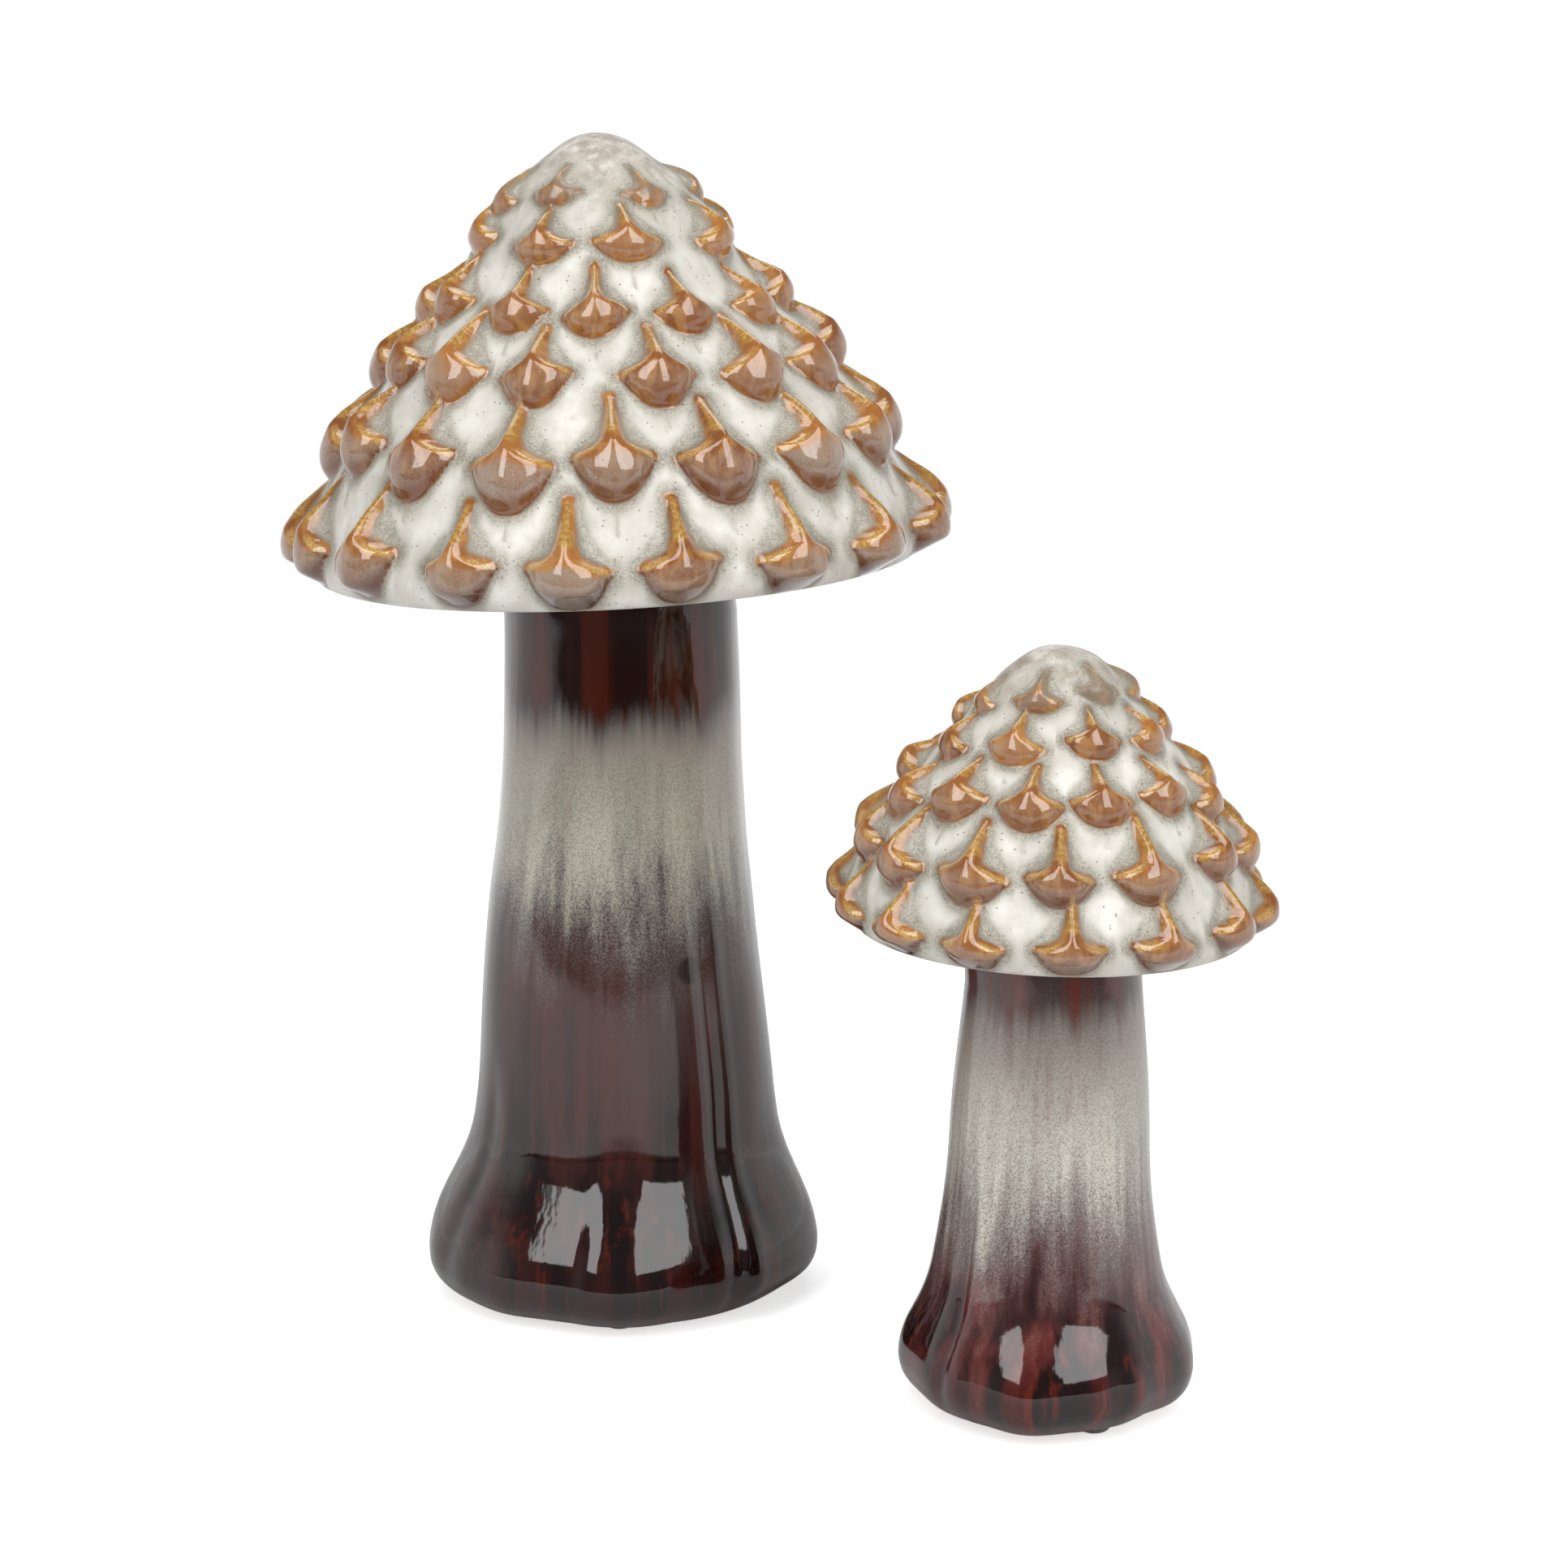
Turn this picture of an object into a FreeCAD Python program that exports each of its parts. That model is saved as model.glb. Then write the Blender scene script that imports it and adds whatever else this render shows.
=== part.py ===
import FreeCAD, Part
import math
import os

# A set of two hollow ceramic mushrooms, one tall and one short, that stand side by side.
# Each is two slip-cast pieces: a stem that is open at its top, and a cap covered in rows of pointed scales.
# A thin bond fills the joint under the cap, and three clear bumper dots keep the foot off the table.

V = FreeCAD.Vector
UP = V(0, 0, 1)
FULL_TURN = 360

# Driving sizes in millimetres, and angles in degrees, of each mushroom.
SIZES = {
    "tall": {
        "axis_x": 0,
        "axis_y": 0,
        "foot_radius": 44.4,
        "foot_roll": 8.5,
        "flare_angle": 30,
        "flare_out_radius": 27,
        "flare_in_radius": 33,
        "shin_radius": 33.2,
        "waist_radius": 29.4,
        "waist_height": 94,
        "swell": 0.7,
        "hollow": 1.3,
        "neck_radius": 24.8,
        "stem_height": 167.4,
        "wall": 5,
        "foot_ring_width": 8,
        "foot_recess": 1.2,
        "vent_radius": 5,
        "spigot_radius": 17,
        "spigot_height": 6,
        "spigot_lip": 3.5,
        "spigot_clearance": 1,
        "bond_thickness": 1.6,
        "bond_setback": 0.8,
        "cap_height": 91,
        "cap_radius": 68,
        "crown_radius": 10.5,
        "slope_angle": 49,
        "slope_end_radius": 44,
        "shoulder_radius": 130,
        "rim_roll": 6,
        "seat_margin": 4,
        "cap_tilt": 2.8,
        "bumper_phase": 270,
        "sides": 42,
    },
    "short": {
        "axis_x": 91.3,
        "axis_y": -74.5,
        "foot_radius": 30.9,
        "foot_roll": 7.5,
        "flare_angle": 26,
        "flare_out_radius": 20.5,
        "flare_in_radius": 32,
        "shin_radius": 23.2,
        "waist_radius": 20.5,
        "waist_height": 64,
        "swell": 0.2,
        "hollow": 0.3,
        "neck_radius": 18.3,
        "stem_height": 103.1,
        "wall": 4,
        "foot_ring_width": 7,
        "foot_recess": 1,
        "vent_radius": 4,
        "spigot_radius": 12.5,
        "spigot_height": 5,
        "spigot_lip": 3,
        "spigot_clearance": 0.8,
        "bond_thickness": 1.2,
        "bond_setback": 0.6,
        "cap_height": 56.7,
        "cap_radius": 42.2,
        "crown_radius": 14,
        "slope_angle": 50,
        "slope_end_radius": 30,
        "shoulder_radius": 56.5,
        "rim_roll": 5,
        "seat_margin": 3,
        "cap_tilt": -1.5,
        "bumper_phase": 297,
        "sides": 36,
    },
    "bumper": {
        "radius": 3.5,
        "height": 1.5,
        "edge": 0.7,
        "count": 3,
        "sides": 16,
    },
}

# Rows of scales on each cap, from the rim up. Every row has its count and the angle of its first scale
# in degrees from the front, then shares: its height in the cap, the scale's width in the row's pitch,
# and in that width the climb of its ridge, the drop of its belly and the reach of its nose.
ROW_SHARES = {
    "tall": [
        (18, -9, 0.071, 0.76, 0.86, 0.46, 0.34),
        (17, -1.4, 0.308, 0.82, 0.80, 0.42, 0.35),
        (14, 7.5, 0.467, 0.76, 0.72, 0.38, 0.33),
        (12, -8.5, 0.612, 0.74, 0.72, 0.38, 0.33),
        (8, 2, 0.740, 0.74, 0.52, 0.34, 0.28),
        (7, 10, 0.848, 0.80, 0.44, 0.30, 0.27),
    ],
    "short": [
        (14, 5, 0.095, 0.72, 0.66, 0.44, 0.36),
        (14, 2, 0.305, 0.86, 0.66, 0.40, 0.36),
        (14, -8.5, 0.508, 0.88, 0.60, 0.36, 0.36),
        (11, -16, 0.698, 0.90, 0.50, 0.34, 0.33),
        (6, -8, 0.827, 0.86, 0.42, 0.28, 0.27),
    ],
}

# One scale's corners as shares of its half width, climb or drop, and reach.
SCALE_SHARES = {
    "tip": (0.0, 1.0, -0.30),
    "ridge": (0.0, 0.42, 0.62),
    "nose": (0.0, 0.0, 1.0),
    "belly": (0.0, -0.62, 0.78),
    "bottom": (0.0, -1.0, -0.30),
    "left_wing": (-1.0, -0.05, -0.12),
    "left_cheek": (-0.62, -0.42, 0.62),
    "left_hem": (-0.62, -0.86, -0.30),
    "right_wing": (1.0, -0.05, -0.12),
    "right_cheek": (0.62, -0.42, 0.62),
    "right_hem": (0.62, -0.86, -0.30),
    "root": (0.0, 0.0, -0.60),
}
HALF_FACES = [
    ("tip", "wing", "ridge"),
    ("ridge", "wing", "nose"),
    ("nose", "wing", "cheek"),
    ("nose", "cheek", "belly"),
    ("cheek", "wing", "hem"),
    ("cheek", "hem", "belly"),
    ("belly", "hem", "bottom"),
    ("root", "wing", "tip"),
    ("root", "hem", "wing"),
    ("root", "bottom", "hem"),
]
MIDDLE = ("tip", "ridge", "nose", "belly", "bottom", "root")

doc = FreeCAD.newDocument("ceramic_mushrooms")
sheet = doc.addObject("Spreadsheet::Sheet", "sizes")


def fill_sheet():
    """Write every driving size into the sheet, one row each, with its alias."""
    row = 1
    for owner, sizes in SIZES.items():
        for name, size in sizes.items():
            sheet.set(f"A{row}", f"{owner} {name}")
            sheet.set(f"B{row}", str(size))
            sheet.setAlias(f"B{row}", f"{owner}_{name}")
            row += 1
    doc.recompute()


class Sizes:
    """The sheet's sizes of one owner, read by name."""

    def __init__(self, owner):
        self.owner = owner

    def __getattr__(self, size):
        return float(sheet.get(f"{self.owner}_{size}"))


def sine(angle):
    return math.sin(math.radians(angle))


def cosine(angle):
    return math.cos(math.radians(angle))


def arc_rings(centre, radius, first, last, steps, side=1):
    """Rings along an arc of the profile. Its angles are those of the radius above the level, and a side
    of -1 takes the hollow side of the circle."""
    rings = []
    for step in range(steps + 1):
        angle = first + (last - first) * step / steps
        rings.append((centre[0] + side * radius * cosine(angle), centre[1] + side * radius * sine(angle)))
    return rings


def bowed_rings(start, end, bow, steps):
    """Rings between two others, bowed out from the straight line by the given depth at the middle."""
    rings = []
    for step in range(1, steps):
        share = step / steps
        radius = start[0] + (end[0] - start[0]) * share + bow * 4 * share * (1 - share)
        rings.append((radius, start[1] + (end[1] - start[1]) * share))
    return rings


def flat_face(points):
    return Part.Face(Part.makePolygon(points + points[:1]))


def closed_solid(faces):
    """The solid that a closed set of faces bounds, whichever way round they were drawn."""
    solid = Part.Solid(Part.Shell(faces))
    if solid.Volume < 0:
        solid.reverse()
    return solid


def ringed_solid(name, rings, sides):
    """A round solid in flat faces: each ring is a polygon of many sides, at its own radius and height."""
    sides = int(sides)
    levels = []
    for radius, height in rings:
        turns = [index * FULL_TURN / sides for index in range(sides)]
        levels.append([V(radius * cosine(turn), radius * sine(turn), height) for turn in turns])
    faces = [flat_face(levels[0]), flat_face(levels[-1])]
    for low, high in zip(levels, levels[1:]):
        for index in range(sides):
            beside = (index + 1) % sides
            faces.append(flat_face([low[index], low[beside], high[beside], high[index]]))
    feature = doc.addObject("Part::Feature", name)
    feature.Shape = closed_solid(faces)
    return feature


def cut_from(name, base, *tools):
    """What is left of a solid when the others are taken out of it, one after the other."""
    for index, tool in enumerate(tools):
        last = index == len(tools) - 1
        cut = doc.addObject("Part::Cut", name if last else f"{name}_cut_{index}")
        cut.Base = base
        cut.Tool = tool
        cut.Refine = False
        base = cut
    return base


class StemProfile:
    """Radii and heights up the outside of a stem: a rolled foot, a flare and a shaft that is slightly bowed."""

    def __init__(self, owner):
        s = Sizes(owner)
        self.base = Sizes("bumper").height
        self.sole = s.foot_radius - s.foot_roll
        self.foot_top = self.base + s.foot_roll
        # The flare leaves the foot upright, leans in by its angle, runs straight and comes up at the shin.
        out_x = s.foot_radius - s.flare_out_radius * (1 - cosine(s.flare_angle))
        out_z = self.foot_top + s.flare_out_radius * sine(s.flare_angle)
        in_x = s.shin_radius + s.flare_in_radius * (1 - cosine(s.flare_angle))
        in_z = out_z + (out_x - in_x) * cosine(s.flare_angle) / sine(s.flare_angle)
        self.flare = (out_x, out_z)
        self.shin = (s.shin_radius, in_z + s.flare_in_radius * sine(s.flare_angle))
        self.waist = (s.waist_radius, s.waist_height)
        self.top = (s.neck_radius, s.stem_height)
        out_centre = (s.foot_radius - s.flare_out_radius, self.foot_top)
        in_centre = (s.shin_radius + s.flare_in_radius, self.shin[1])
        self.outside = [
            *arc_rings((self.sole, self.foot_top), s.foot_roll, -90, 0, 4),
            *arc_rings(out_centre, s.flare_out_radius, 0, s.flare_angle, 3)[1:],
            *arc_rings(in_centre, s.flare_in_radius, s.flare_angle, 0, 3, side=-1),
            *bowed_rings(self.shin, self.waist, s.swell, 3),
            self.waist,
            *bowed_rings(self.waist, self.top, -s.hollow, 3),
            self.top,
        ]


def make_stem(owner):
    """The stem: a slip casting with an even wall, a dished and vented foot, and a spigot for the cap."""
    s = Sizes(owner)
    profile = StemProfile(owner)
    floor = profile.base + s.foot_recess
    below = profile.base - s.wall
    mouth = s.spigot_radius - s.spigot_lip
    outside = ringed_solid(f"{owner}_stem_outside", profile.outside, s.sides)
    spigot = ringed_solid(f"{owner}_spigot", [
        (s.spigot_radius, s.stem_height - s.wall / 2),
        (s.spigot_radius, s.stem_height + s.spigot_height),
    ], s.sides)
    hollow = ringed_solid(f"{owner}_stem_hollow", [
        (profile.sole, floor + s.wall),
        (s.foot_radius - s.wall, profile.foot_top),
        (profile.flare[0] - s.wall, profile.flare[1]),
        (profile.shin[0] - s.wall, profile.shin[1]),
        (profile.waist[0] - s.wall, profile.waist[1]),
        (s.neck_radius - s.wall, s.stem_height - 2 * s.wall),
        (mouth, s.stem_height - s.wall / 2),
        (mouth, s.stem_height + 2 * s.spigot_height),
    ], s.sides)
    dish = profile.sole - s.foot_ring_width
    recess = ringed_solid(f"{owner}_foot_recess", [(dish, below), (dish, floor)], s.sides)
    vent = ringed_solid(f"{owner}_vent", [
        (s.vent_radius, below),
        (s.vent_radius, floor + 2 * s.wall),
    ], Sizes("bumper").sides)
    blank = doc.addObject("Part::Fuse", f"{owner}_stem_blank")
    blank.Base = outside
    blank.Tool = spigot
    blank.Refine = False
    return cut_from(f"{owner}_stem", blank, hollow, recess, vent)


class CapProfile:
    """Radii and heights of a cap about its own axis, with its seat on the stem at height zero."""

    def __init__(self, owner):
        s = Sizes(owner)
        slope_sine, slope_cosine = sine(s.slope_angle), cosine(s.slope_angle)
        # The crown's arc runs into a straight slope, the slope into the shoulder's arc, and that into the rim.
        self.crown = (s.crown_radius * slope_sine, s.cap_height - s.crown_radius * (1 - slope_cosine))
        slope_drop = (s.slope_end_radius - self.crown[0]) * slope_sine / slope_cosine
        self.slope_end = (s.slope_end_radius, self.crown[1] - slope_drop)
        shoulder = (
            s.slope_end_radius - s.shoulder_radius * slope_sine,
            self.slope_end[1] - s.shoulder_radius * slope_cosine,
        )
        rim_angle = math.degrees(math.acos((s.cap_radius - shoulder[0]) / s.shoulder_radius))
        self.rim = (s.cap_radius, shoulder[1] + s.shoulder_radius * sine(rim_angle))
        roll = (s.cap_radius - s.rim_roll * cosine(rim_angle), self.rim[1] - s.rim_roll * sine(rim_angle))
        self.under = (roll[0], roll[1] - s.rim_roll)
        self.outside = [
            *arc_rings(roll, s.rim_roll, -90, rim_angle, 4),
            *arc_rings(shoulder, s.shoulder_radius, rim_angle, 90 - s.slope_angle, 4)[1:],
            *arc_rings((0, s.cap_height - s.crown_radius), s.crown_radius, 90 - s.slope_angle, 84, 2),
        ]

    def point(self, height):
        """Where the dome's outside has this height, with the directions out of it and up along it there."""
        for (low_x, low_z), (high_x, high_z) in zip(self.outside, self.outside[1:]):
            if low_z <= height <= high_z:
                along = V(high_x - low_x, 0, high_z - low_z).normalize()
                share = (height - low_z) / (high_z - low_z)
                return V(low_x + (high_x - low_x) * share, 0, height), V(along.z, 0, -along.x), along
        raise ValueError(f"the dome has no height {height}")


def make_cap_blank(owner, profile):
    """The dome with its hollow, its dished underside and the hole that the stem's spigot enters."""
    s = Sizes(owner)
    seat = s.neck_radius + s.seat_margin
    hole = s.spigot_radius + s.spigot_clearance
    dome = ringed_solid(f"{owner}_dome", profile.outside, s.sides)
    dish = ringed_solid(f"{owner}_dish", [
        (2 * profile.under[0] - seat, 2 * profile.under[1]),
        (seat, 0),
    ], s.sides)
    hollow = ringed_solid(f"{owner}_cap_hollow", [
        (seat, s.wall),
        (profile.under[0] - s.wall / 2, profile.under[1] + s.wall),
        (s.cap_radius - s.wall, profile.rim[1] + s.wall / 2),
        (profile.slope_end[0] - s.wall * sine(s.slope_angle), profile.slope_end[1] - s.wall * cosine(s.slope_angle)),
        (profile.crown[0], profile.crown[1] - s.wall / cosine(s.slope_angle)),
    ], s.sides)
    bore = ringed_solid(f"{owner}_spigot_hole", [(hole, -s.wall), (hole, 2 * s.wall)], s.sides)
    return cut_from(f"{owner}_cap_blank", dome, dish, hollow, bore)


def make_scale(foot, out, along, width, climb, drop, reach):
    """One scale: a ridge that falls to a nose, two drawn-in wings and a round belly, rooted in the dome."""
    corners = {}
    for name, (side_share, rise_share, reach_share) in SCALE_SHARES.items():
        side = side_share * width / 2
        rise = rise_share * (climb if rise_share > 0 else drop)
        bend = side ** 2 / (2 * foot.x)
        corners[name] = foot + V(0, side, 0) + along * rise + out * (reach_share * reach - bend)
    faces = []
    for side in ("left", "right"):
        for names in HALF_FACES:
            faces.append(flat_face([corners[name if name in MIDDLE else f"{side}_{name}"] for name in names]))
    return closed_solid(faces)


def make_scale_rows(owner, profile):
    """The rows of scales of a cap, each row turned about the cap's axis from one scale."""
    s = Sizes(owner)
    rows = []
    for number, (count, phase, height, width, climb, drop, reach) in enumerate(ROW_SHARES[owner]):
        foot, out, along = profile.point(height * s.cap_height)
        span = width * 2 * math.pi * foot.x / count
        scale = make_scale(foot, out, along, span, climb * span, drop * span, reach * span)
        scales = []
        for index in range(count):
            turned = scale.copy()
            turned.rotate(V(0, 0, 0), UP, phase - FULL_TURN / 4 + index * FULL_TURN / count)
            scales.append(turned)
        row = doc.addObject("Part::Feature", f"{owner}_scale_row_{number}")
        row.Shape = Part.makeCompound(scales)
        rows.append(row)
    return rows


def seat_place(owner):
    """Place of the cap's seat above the stem, leaning sideways by the cap's tilt."""
    s = Sizes(owner)
    return FreeCAD.Placement(V(0, 0, s.stem_height + s.bond_thickness), FreeCAD.Rotation(V(0, -1, 0), s.cap_tilt))


def make_cap(owner):
    """The cap: a hollow dome with a rolled rim and a holed underside, fused with its rows of scales."""
    profile = CapProfile(owner)
    cap = doc.addObject("Part::MultiFuse", f"{owner}_cap")
    cap.Shapes = [make_cap_blank(owner, profile), *make_scale_rows(owner, profile)]
    cap.Refine = False
    cap.Placement = seat_place(owner)
    return cap


def make_joint_ring(owner):
    """The bond under the cap: flat on the stem's shoulder, and cut above by the leaning seat."""
    s = Sizes(owner)
    outer = s.neck_radius - s.bond_setback
    top = s.stem_height + 3 * s.bond_thickness
    outside = ringed_solid(f"{owner}_bond_outside", [(outer, s.stem_height), (outer, top)], s.sides)
    bore = ringed_solid(f"{owner}_bond_bore", [
        (s.spigot_radius, s.stem_height - s.bond_thickness),
        (s.spigot_radius, top + s.bond_thickness),
    ], s.sides)
    above = ringed_solid(f"{owner}_above_seat", [(s.cap_radius, 0), (s.cap_radius, s.cap_height)], s.sides)
    above.Placement = seat_place(owner)
    return cut_from(f"{owner}_joint_ring", outside, bore, above)


def make_bumper_feet(owner):
    """Clear dots under the foot ring, each with a rounded lower edge, evenly spaced around the foot."""
    s = Sizes(owner)
    bumper = Sizes("bumper")
    dot = ringed_solid(f"{owner}_bumper_dot", [
        *arc_rings((bumper.radius - bumper.edge, bumper.edge), bumper.edge, -90, 0, 2),
        (bumper.radius, bumper.height),
    ], bumper.sides)
    dots = []
    for index in range(int(bumper.count)):
        copy = dot.Shape.copy()
        copy.translate(V(s.foot_radius - s.foot_roll - s.foot_ring_width / 2, 0, 0))
        copy.rotate(V(0, 0, 0), UP, s.bumper_phase + index * FULL_TURN / bumper.count)
        dots.append(copy)
    feet = doc.addObject("Part::Feature", f"{owner}_bumper_feet")
    feet.Shape = Part.makeCompound(dots)
    return feet


def place_on_table(groups):
    """Set each mushroom on its own axis, with the middle of the caps' footprint at the origin."""
    footprint = FreeCAD.BoundBox()
    for owner in groups:
        s = Sizes(owner)
        for row in doc.getObject(f"{owner}_cap").Shapes[1:]:
            scales = row.Shape.copy()
            scales.Placement = seat_place(owner)
            box = scales.BoundBox
            box.move(V(s.axis_x, s.axis_y, 0))
            footprint.add(box)
    for owner, pieces in groups.items():
        s = Sizes(owner)
        axis = V(s.axis_x - footprint.Center.x, s.axis_y - footprint.Center.y, 0)
        print(owner, "axis at", round(axis.x, 3), round(axis.y, 3))
        for piece in pieces:
            piece.Placement = FreeCAD.Placement(axis, FreeCAD.Rotation()).multiply(piece.Placement)


def check_document():
    """Stop if any object of the document failed."""
    for item in doc.Objects:
        if "Invalid" in item.State or "Error" in item.State:
            raise RuntimeError(f"{item.Name} failed: {item.State}")


def write_parts(groups):
    """Check each piece and write it under its own name."""
    os.makedirs("parts", exist_ok=True)
    for pieces in groups.values():
        for piece in pieces:
            if piece.Shape.isNull() or not piece.Shape.isValid():
                raise RuntimeError(f"{piece.Label} has no valid shape")
            piece.Shape.exportStep(f"parts/{piece.Label}.step")
            box = piece.Shape.BoundBox
            print(piece.Label, "solids", len(piece.Shape.Solids), "volume", round(piece.Shape.Volume),
                  "x", round(box.XMin, 1), round(box.XMax, 1), "y", round(box.YMin, 1), round(box.YMax, 1),
                  "z", round(box.ZMin, 2), round(box.ZMax, 2))


def main():
    fill_sheet()
    groups = {}
    for owner in ("tall", "short"):
        groups[owner] = [
            make_stem(owner),
            make_cap(owner),
            make_joint_ring(owner),
            make_bumper_feet(owner),
        ]
    place_on_table(groups)
    doc.recompute()
    check_document()
    write_parts(groups)


main()
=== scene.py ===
# %% [markdown]
# Two glazed ceramic mushrooms stand side by side, one tall and one short. Each is a slip-cast stem with a
# flared foot, and a domed cap with rows of pointed scales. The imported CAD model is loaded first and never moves:
# it says where every piece sits, and each piece made below stands for one of its nodes.

# %% The frame
import math

import bmesh
import bpy
import numpy as np
from mathutils import Matrix, Vector, noise


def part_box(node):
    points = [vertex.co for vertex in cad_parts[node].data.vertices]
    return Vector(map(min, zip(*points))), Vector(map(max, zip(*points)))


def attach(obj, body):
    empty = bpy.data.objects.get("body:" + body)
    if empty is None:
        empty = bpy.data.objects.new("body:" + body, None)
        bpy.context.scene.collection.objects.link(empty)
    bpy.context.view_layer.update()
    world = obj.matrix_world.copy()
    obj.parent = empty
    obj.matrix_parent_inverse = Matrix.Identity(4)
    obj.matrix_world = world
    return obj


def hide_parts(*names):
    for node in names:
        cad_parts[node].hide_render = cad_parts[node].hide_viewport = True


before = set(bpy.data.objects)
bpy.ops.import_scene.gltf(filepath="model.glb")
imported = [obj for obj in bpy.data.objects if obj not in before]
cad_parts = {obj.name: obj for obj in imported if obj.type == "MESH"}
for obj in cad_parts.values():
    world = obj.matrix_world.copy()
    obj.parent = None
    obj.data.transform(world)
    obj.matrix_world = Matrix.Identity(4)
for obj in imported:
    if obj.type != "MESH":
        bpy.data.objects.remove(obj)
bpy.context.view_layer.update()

# %% [markdown]
# Blender works in metres and a potter in millimetres, so sizes are written in millimetres and scaled once.
# The bond under each cap is a flat ring round the stem, so the middle of its box gives the mushroom's axis and
# its lowest point gives the stem's shoulder.

# %% Units and axes
MM = 0.001
UP = Vector((0, 0, 1))
FULL_TURN = 2 * math.pi
MERGE = 0.002 * MM


def shoulder_of(node):
    """The middle of the stem's shoulder, under the bond."""
    low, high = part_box(node)
    return Vector(((low.x + high.x) / 2, (low.y + high.y) / 2, low.z))


SHOULDER = {"tall": shoulder_of("tall_joint_ring"), "short": shoulder_of("short_joint_ring")}
for owner, place in SHOULDER.items():
    print(owner, "shoulder at", [round(number / MM, 1) for number in place])

# %% [markdown]
# The camera comes early, because everything is judged through it. It is a long lens from a little above, as
# for a catalogue: about 820 mm away, looking down by 12.4 degrees. A long lens keeps both stems upright.

# %% Camera
CAMERA_PLACE = Vector((4.8, -795.6, 295.9)) * MM
CAMERA_PITCH = 0.216
CAMERA_LENS = 86.07
CAMERA_SENSOR = 36
camera_data = bpy.data.cameras.new("camera")
camera_data.sensor_width = CAMERA_SENSOR
camera_data.lens = CAMERA_LENS
camera = bpy.data.objects.new("camera", camera_data)
camera.location = CAMERA_PLACE
camera.rotation_euler = (math.pi / 2 - CAMERA_PITCH, 0, 0)
bpy.context.scene.collection.objects.link(camera)
bpy.context.scene.camera = camera
bpy.context.scene.view_settings.view_transform = "Standard"
print("camera", round((CAMERA_PLACE - SHOULDER["tall"]).length / MM), "mm from the tall mushroom's shoulder")

# %% [markdown]
# A round casting is a line turned about its axis. The line is a Bezier curve through a few measured points, given
# as radius and height; Blender samples it into short edges, and the spin operator sweeps those into faces.

# %% Turned forms


def add_line(bm, name, points, fineness):
    """Sample a smooth line through (radius, height) points into an empty bmesh."""
    curve = bpy.data.curves.new(name, "CURVE")
    curve.dimensions = "3D"
    curve.resolution_u = fineness
    spline = curve.splines.new("BEZIER")
    spline.bezier_points.add(len(points) - 1)
    for knot, (radius, height, *corner) in zip(spline.bezier_points, points):
        knot.co = (radius * MM, 0, height * MM)
        knot.handle_left_type = knot.handle_right_type = "VECTOR" if corner else "AUTO"
    holder = bpy.data.objects.new(name, curve)
    line = bpy.data.meshes.new_from_object(holder)
    bm.from_mesh(line)
    bpy.data.objects.remove(holder)
    bpy.data.curves.remove(curve)
    bpy.data.meshes.remove(line)


def turned(name, points, fineness, turns):
    """A mesh turned from a line. An eighth of the turn is spun, then doubled three times, which is far quicker."""
    bm = bmesh.new()
    add_line(bm, name, points, fineness)
    eighth = FULL_TURN / 8
    bmesh.ops.spin(bm, geom=bm.verts[:] + bm.edges[:], cent=(0, 0, 0), axis=UP, angle=eighth, steps=turns // 8)
    for doubling in range(3):
        copied = bmesh.ops.duplicate(bm, geom=bm.verts[:] + bm.edges[:] + bm.faces[:])
        fresh = [item for item in copied["geom"] if isinstance(item, bmesh.types.BMVert)]
        turn = Matrix.Rotation(eighth * 2 ** doubling, 3, "Z")
        bmesh.ops.rotate(bm, verts=fresh, cent=(0, 0, 0), matrix=turn)
    bmesh.ops.remove_doubles(bm, verts=bm.verts[:], dist=MERGE)
    mesh = bpy.data.meshes.new(name)
    bm.to_mesh(mesh)
    bm.free()
    return mesh


def finish_piece(bm, name, body, slot, glaze, *nodes):
    """Turn the bmesh into a smooth object that rides on its body and stands for the named CAD nodes."""
    bmesh.ops.remove_doubles(bm, verts=bm.verts[:], dist=MERGE)
    bmesh.ops.recalc_face_normals(bm, faces=bm.faces[:])
    for face in bm.faces:
        face.smooth = True
    mesh = bpy.data.meshes.new(name)
    bm.to_mesh(mesh)
    bm.free()
    mesh.materials.append(glaze)
    piece = bpy.data.objects.new(name, mesh)
    bpy.context.scene.collection.objects.link(piece)
    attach(piece, body)
    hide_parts(*nodes)
    mesh.calc_loop_triangles()
    print(name, "has", len(mesh.loop_triangles), "triangles")
    return piece


# %% [markdown]
# A glaze is painted with numbers: how high on the cap, how near a ridge, how mottled. Node trees for that are long
# when each sum is wired by hand, so one small class wraps a socket, and writing a + b adds the Math node.

# %% Shader numbers


class Number:
    """A socket that carries one number, with arithmetic that adds Math nodes."""

    def __init__(self, tree, socket):
        self.tree = tree
        self.socket = socket

    def math(self, operation, first, second):
        made = self.tree.node("ShaderNodeMath", {"operation": operation}, {0: first, 1: second})
        return Number(self.tree, made.outputs[0])

    def __add__(self, other):
        return self.math("ADD", self, other)

    def __sub__(self, other):
        return self.math("SUBTRACT", self, other)

    def __rsub__(self, other):
        return self.math("SUBTRACT", other, self)

    def __mul__(self, other):
        return self.math("MULTIPLY", self, other)

    def sine(self):
        return self.math("SINE", self, 0)

    def least(self, other):
        return self.math("MINIMUM", self, other)

    def most(self, other):
        return self.math("MAXIMUM", self, other)

    __radd__ = __add__
    __rmul__ = __mul__

    def rise(self, low, high):
        """0 below low, 1 above high, and a soft step between. It falls instead where high is the lower one."""
        made = self.tree.node(
            "ShaderNodeMapRange",
            {"interpolation_type": "SMOOTHSTEP"},
            {"Value": self, "From Min": min(low, high), "From Max": max(low, high)},
        )
        step = Number(self.tree, made.outputs[0])
        return step if low < high else 1 - step


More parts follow.
